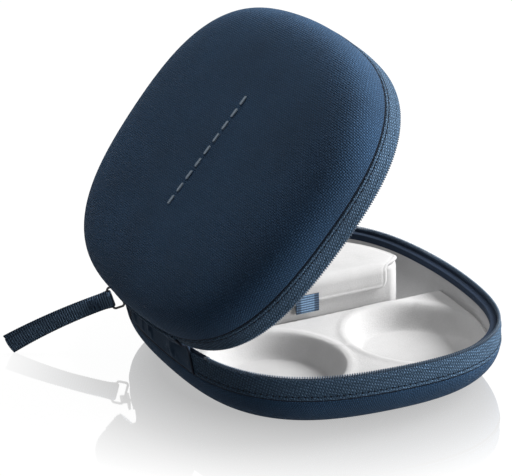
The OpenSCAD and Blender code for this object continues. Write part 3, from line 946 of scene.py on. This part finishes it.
def flap():
    """A padded board over the box, bent down in front of it."""
    bend_r = 4.2
    mid_z = BOX_TOP + 1.75
    skirt_y = BOX_FRONT - 1.4
    top_run = BOX_BACK - skirt_y - bend_r
    bend_run = bend_r * HALF_TURN / 2
    skirt_run = mid_z - bend_r - FLAP_LOW_Z
    total = top_run + bend_run + skirt_run
    bend_end = top_run + bend_run
    runs = np.unique(np.concatenate([
        np.linspace(0, 3, 9), np.linspace(3, top_run, 34), np.linspace(top_run, bend_end, 11),
        np.linspace(bend_end, total - 2.5, 8), np.linspace(total - 2.5, total, 9)]))
    shares = np.sin(np.linspace(-1, 1, 81) * HALF_TURN / 2)
    mid = np.zeros((len(runs), len(shares), 3))
    up = np.zeros((len(runs), 1, 3))
    for i, run in enumerate(runs):
        turn = min(max((run - top_run) / bend_r, 0), HALF_TURN / 2)
        down = max(run - top_run - bend_run, 0)
        y = BOX_BACK - min(run, top_run) - bend_r * math.sin(turn)
        z = mid_z - bend_r * (1 - math.cos(turn)) - down
        into_corner = max(FLAP_CORNER_R - (total - run), 0)
        trim = FLAP_CORNER_R - math.sqrt(max(FLAP_CORNER_R ** 2 - into_corner ** 2, 0))
        half = flap_half_width(np.array(run), top_run) - trim
        mid[i, :, 0] = shares * half
        mid[i, :, 1] = y
        mid[i, :, 2] = z
        up[i, 0] = (0, -math.sin(turn), math.cos(turn))
    to_side = (1 - abs(shares))[None, :] * flap_half_width(runs, top_run)[:, None]
    to_end = np.minimum(runs, total - runs)[:, None]
    border = np.minimum(to_side, to_end)
    round_in = 1.5
    edge = np.sqrt(np.clip(1 - (1 - np.clip(border / round_in, 0, 1)) ** 2, 0, 1))
    pillow = 0.5 * np.clip(border / 16, 0, 1) ** 0.6
    dent = 0.3 * np.exp(-((border - 2.6) / 0.5) ** 2)
    upper = mid + up * ((1.15 * edge + pillow - dent)[..., None])
    lower = mid - up * ((1.1 * edge)[..., None])
    piece = cloth_strip("accessory_flap_pad", upper, lower, runs, shares * 60)
    finish_piece(piece, tray_fleece, "flap", "tray_fabric", "accessory_flap")


def ribbon_tab():
    """A folded ribbon loop sewn under the flap's lower edge."""
    low, high = np.array(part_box("flap_pull_tab")) / MM
    width = (high[0] - low[0]) / 2
    y = (low[1] + high[1]) / 2
    path = [(y - 0.1, high[2]), (y - 0.3, low[2] + 3), (y - 0.25, low[2] + 0.9), (y + 0.05, low[2] + 0.45),
            (y + 0.4, low[2] + 1.0), (y + 0.4, low[2] + 3), (y + 0.35, high[2] - 0.3)]
    path = rounded_open(path, 2)
    xs = np.linspace(-width, width, 29)
    ribs = 0.05 * np.sin(xs * FULL_TURN / 1.4)
    front = np.stack(np.broadcast_arrays(xs, path[:, :1], path[:, 1:]), -1)
    normal = unit(np.cross(np.gradient(front, axis=0), np.gradient(front, axis=1)))
    piece = cloth_strip("flap_ribbon_tab", front + normal * (0.18 + ribs)[None, :, None], front - normal * 0.18,
                        lengths_along(path), xs)
    finish_piece(piece, strap_fabric, "flap", "tab_webbing", "flap_pull_tab")


# ---- pull strap
STRAP = {"width": 9.8, "length": 63.0, "start": math.radians(16.5), "end": math.radians(27.5), "layer": 1.05,
         "fold": 0.85, "rib": 1.4}
TIP_DROP = 1.1  # how far the front layer's tip hangs below the strap's arc
TIP_LIFT = 0.9  # and how far the rear layer's rises above it
# Places across the strap from -1 to 1, crowded towards its edges, and how full it is there.
ACROSS = np.sin(np.linspace(-1, 1, 23) * HALF_TURN / 2)
FULLNESS = (1 - abs(ACROSS) ** 10) ** 0.5
TACK = {"start": 7.0, "end": 12.6, "pitch": 0.42}


def strap_axes():
    """The strap's own frame at its fold: origin on the ring's bar, and its along, face and up directions."""
    joint = joints["strap_swing"]
    origin = np.array(joint["pos_m"]) / MM
    up = np.array(joint["axis"])
    heading = up[:2] / np.linalg.norm(up[:2])
    droop = STRAP["start"]
    along = np.array([*(heading * math.cos(droop)), -math.sin(droop)])
    return origin, along, np.cross(up, along), up


def strap_point(run, face, rise):
    """A point at a length along the strap, off its mid plane, and above its centre line."""
    origin, along, side, up = strap_axes()
    turn = (STRAP["end"] - STRAP["start"]) / STRAP["length"]
    bend = np.asarray(run) * turn
    radius = 1 / turn
    a = np.sin(bend) * (radius + rise)
    b = np.cos(bend) * (radius + rise) - radius
    return origin + along * a[..., None] + up * b[..., None] + side * np.asarray(face)[..., None]


def webbing(name, face_of, length, rise_of, end_slant):
    """A ribbed ribbon; face_of and rise_of say how far off the mid plane and how high it lies."""
    half = STRAP["width"] / 2
    runs = np.arange(0, length, STRAP["rib"] / 6)
    run = runs[:, None] + end_slant(ACROSS) * (runs[:, None] / length) ** 6
    rib = abs(np.sin(runs * HALF_TURN / STRAP["rib"]))[:, None]
    scallop = 0.16 * rib * abs(ACROSS) ** 8
    rise = ACROSS * (half - 0.16) + np.sign(ACROSS) * scallop + rise_of(runs)[:, None]
    cord = 0.10 * abs(np.sin(ACROSS * half * HALF_TURN / 0.8)) * (0.4 + 0.6 * rib)
    thick = (STRAP["layer"] / 2 - 0.12) * FULLNESS * (0.72 + 0.28 * rib) + cord * 0.5
    centre = face_of(runs)[:, None]
    return cloth_strip(name, strap_point(run, centre - thick, rise), strap_point(run, centre + thick, rise),
                       runs, ACROSS * half)


def pull_strap():
    """Two layers of webbing that lie together, joined by a fold round the ring's bar."""
    off = STRAP["layer"] / 2 + 0.02
    spread = STRAP["fold"] + 0.25
    length = STRAP["length"]

    def front_face(run):
        return off + spread * np.exp(-(run / 3.0) ** 2)

    def bowed(tip):
        return lambda run: tip * (run / length) ** 1.8

    front = webbing("pull_strap_front", front_face, length, bowed(-TIP_DROP), lambda s: 0.2 * s - 0.5 * s * s)
    finish_piece(front, strap_fabric, "strap", "strap_webbing", "pull_strap")
    rear = webbing("pull_strap_rear", lambda run: -front_face(run), length - 0.8, bowed(TIP_LIFT),
                   lambda s: 0.5 * s)
    finish_piece(rear, strap_fabric, "strap", "strap_webbing")
    fold_r = STRAP["fold"] + STRAP["layer"] / 2
    turns = np.linspace(-HALF_TURN / 2, HALF_TURN / 2, 15)
    half = STRAP["width"] / 2
    layers = []
    for sign in (1, -1):
        r = fold_r + sign * (STRAP["layer"] / 2 - 0.1) * FULLNESS
        run = -r * np.cos(turns)[:, None]
        face = r * np.sin(turns)[:, None]
        layers.append(strap_point(run, face, np.broadcast_to(ACROSS * (half - 0.1), run.shape)))
    fold = cloth_strip("pull_strap_fold", *layers, turns * fold_r, ACROSS * half)
    finish_piece(fold, strap_fabric, "strap", "strap_webbing")


def strap_stitching():
    """Tack stitches in crossing rows near the fold, on both faces of the strap."""
    threads = []
    outside = STRAP["layer"] + 0.12
    top = STRAP["width"] / 2 - 1.2
    for side in (-1, 1):
        for i, run in enumerate(np.arange(TACK["start"], TACK["end"], TACK["pitch"])):
            slope = 0.5 * (-1) ** i
            runs = run + slope * np.linspace(-1, 1, 15)
            rises = np.linspace(-top, top, 15)
            height = outside + 0.07 * np.sin(np.linspace(0, 5 * HALF_TURN, 15) + i)
            path = strap_point(runs, side * height, rises)
            threads.append(tube_points(path, (1.0, 0.3, 0.1), 0.2, 5))
    piece = many_tubes("strap_cross_stitch", threads, as_is)
    finish_piece(piece, tack_thread, "strap", "tack_thread", "strap_tack_patches")


# ---- CAD nodes that stay
def keep_cad(node, material, bevel=0.0):
    """Gives a CAD node its material and, where it is crisp, softened edges."""
    piece = frame["nodes"][node]
    piece.data.materials.clear()
    piece.data.materials.append(material)
    if bevel:
        soft = piece.modifiers.new("soft_edges", "BEVEL")
        soft.width = bevel * MM
        soft.segments = 3
        soft.limit_method = "ANGLE"
        soft.angle_limit = math.radians(40)


# ---- camera, light, floor
def camera():
    azimuth = math.radians(25.21)
    elevation = math.radians(20.872)
    roll = math.radians(-1.346)
    distance = 1.291754
    aim = Vector((-0.02434, 0.01485, 0.06806))
    level = math.cos(elevation)
    ahead = Vector((math.sin(azimuth) * level, math.cos(azimuth) * level, -math.sin(elevation)))
    data = bpy.data.cameras.new("camera")
    data.sensor_width = 36.0
    data.lens = 166.7
    data.clip_end = 50
    eye = new_object("camera", data)
    eye.rotation_mode = "QUATERNION"
    eye.location = aim - ahead * distance
    rolled = Matrix.Rotation(roll, 4, "Z").to_quaternion()
    eye.rotation_quaternion = ahead.to_track_quat("-Z", "Y") @ rolled
    bpy.context.scene.camera = eye


def area_light(name, place, target, size, power):
    data = bpy.data.lights.new(name, "AREA")
    data.shape = "RECTANGLE"
    data.size, data.size_y = size
    data.energy = power
    lamp = new_object(name, data)
    lamp.location = place
    lamp.rotation_mode = "QUATERNION"
    lamp.rotation_quaternion = (Vector(target) - Vector(place)).to_track_quat("-Z", "Y")


def studio():
    """A dim room that the camera and reflections see as a white backdrop, and four area lights."""
    world = bpy.data.worlds.new("studio")
    bpy.context.scene.world = world
    world.use_nodes = True
    tree = world.node_tree
    backdrop = tree.nodes["Background"]
    room = tree.nodes.new("ShaderNodeBackground")
    for shade, colour, strength in ((backdrop, (1, 1, 1, 1), 1.0), (room, (0.85, 0.92, 1.0, 1.0), 0.034)):
        shade.inputs["Color"].default_value = colour
        shade.inputs["Strength"].default_value = strength
    chooser = tree.nodes.new("ShaderNodeMixShader")
    path = tree.nodes.new("ShaderNodeLightPath")
    seen = tree.nodes.new("ShaderNodeMath")
    seen.operation = "MAXIMUM"
    joins = [(path.outputs["Is Camera Ray"], seen.inputs[0]), (path.outputs["Is Glossy Ray"], seen.inputs[1]),
             (seen.outputs[0], chooser.inputs[0]), (room.outputs[0], chooser.inputs[1]),
             (backdrop.outputs[0], chooser.inputs[2]),
             (chooser.outputs[0], tree.nodes["World Output"].inputs["Surface"])]
    for output, entry in joins:
        tree.links.new(output, entry)
    area_light("key_right", (1.2, -0.25, 1.0), (0, 0, 0.08), (0.8, 0.8), 50)
    area_light("top", (0.05, 0.35, 0.80), (0, 0, 0.08), (0.5, 0.4), 3.2)
    area_light("fill_front", (1.2, -1.6, 0.45), (0, 0, 0.05), (1.0, 0.7), 30)
    area_light("fill_left", (-0.75, -1.3, 0.8), (-0.1, 0, 0.05), (0.7, 0.5), 2.4)
    bpy.context.scene.view_settings.view_transform = "Standard"


def floor():
    """A white floor with a soft reflection, strongest under the case and fading round it."""
    axis = np.linspace(-6.0, 6.0, 9)
    uv = weave_grid(axis, axis)
    piece = surface("floor", np.pad(uv, ((0, 0), (0, 0), (0, 1))), uv)
    g = Graph("floor_gloss")
    g.set(Base_Color=(0.06, 0.06, 0.06), Roughness=1.0, Specular_IOR_Level=0.0,
          Emission_Color=(1, 1, 1), Emission_Strength=0.97)
    gloss = g.filled("ShaderNodeBsdfAnisotropic", Color=(1, 1, 1, 1), Roughness=0.035)
    reach = g.node("ShaderNodeVectorMath", operation="LENGTH")
    g.put(g.place(), reach.inputs[0])
    layers = g.node("ShaderNodeMixShader")
    g.put(g.ranged(reach.outputs["Value"], 0.085, 0.175, 0.52, 0.01), layers.inputs[0])
    g.put(g.shader.outputs[0], layers.inputs[1])
    g.put(gloss, layers.inputs[2])
    g.put(layers.outputs[0], g.tree.nodes["Material Output"].inputs["Surface"])
    piece.data.materials.append(g.material)
    piece.visible_diffuse = False


# ---- build
camera()
studio()
floor()
for half in HALVES:
    for make in (shell, lining, gusset, seam_piping, zip_tape, tape_ends, rim_binding, zip_coil,
                 gusset_stitches):
        make(half)
    keep_cad(f"{half}_core", foam)
    keep_cad(f"{half}_end_stops", stop_plastic, 0.3)
panel_end_seams(hinge_panel())
for make in (hinge_welt, tray, accessory_box, flap, ribbon_tab, pull_strap, strap_stitching):
    make()
keep_cad("lid_mark", mark_rubber, 0.25)
keep_cad("slider_body", black_lacquer, 0.3)
keep_cad("slider_bail", black_lacquer, 0.3)
keep_cad("pull_ring", black_lacquer)
keep_cad("box_magnet", nickel, 0.15)
keep_cad("flap_magnet", nickel, 0.15)
keep_cad("flap_hinge_strip", tray_fleece, 0.2)
